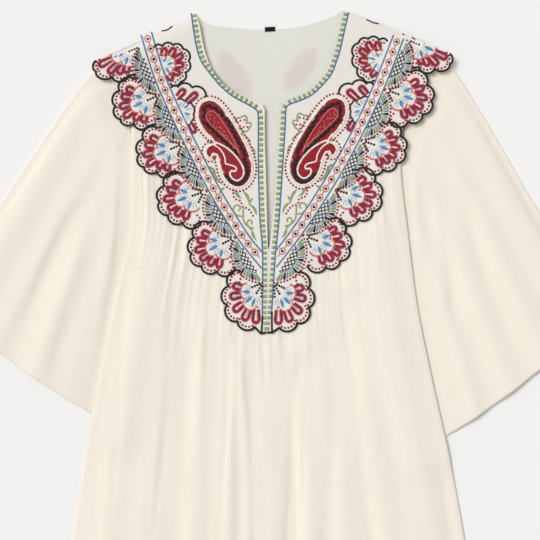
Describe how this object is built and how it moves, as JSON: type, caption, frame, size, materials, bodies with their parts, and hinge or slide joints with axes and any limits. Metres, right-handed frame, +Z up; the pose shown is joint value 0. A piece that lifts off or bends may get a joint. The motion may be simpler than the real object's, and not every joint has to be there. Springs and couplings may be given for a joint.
{
  "type": "embroidered kaftan dress",
  "caption": "Flat-laid cotton kaftan dress with a scalloped embroidered yoke, front slit neck, bell sleeves and a gathered body.",
  "frame": {"origin": "middle of the floor face of the whole dress's bounding box, as it lies on its back", "axes": "+Y towards the neck, +X to the right of someone looking down at the front, +Z up from the floor"},
  "size_m": [1, 1.32, 0.015],
  "materials": {
    "cream_cotton": "matt plain weave",
    "embroidered_cotton": "matt plain weave under satin, knot and cord embroidery in crimson, coral, blue, green and black",
    "black_tape": "satin tape"
  },
  "bodies": {
    "root": {"front_yoke_left": "embroidered_cotton", "front_yoke_right": "embroidered_cotton", "back_yoke": "embroidered_cotton", "front_body": "cream_cotton", "back_body": "cream_cotton", "sleeve_left": "cream_cotton", "sleeve_right": "cream_cotton", "neck_label": "black_tape"}
  },
  "joints": []
}
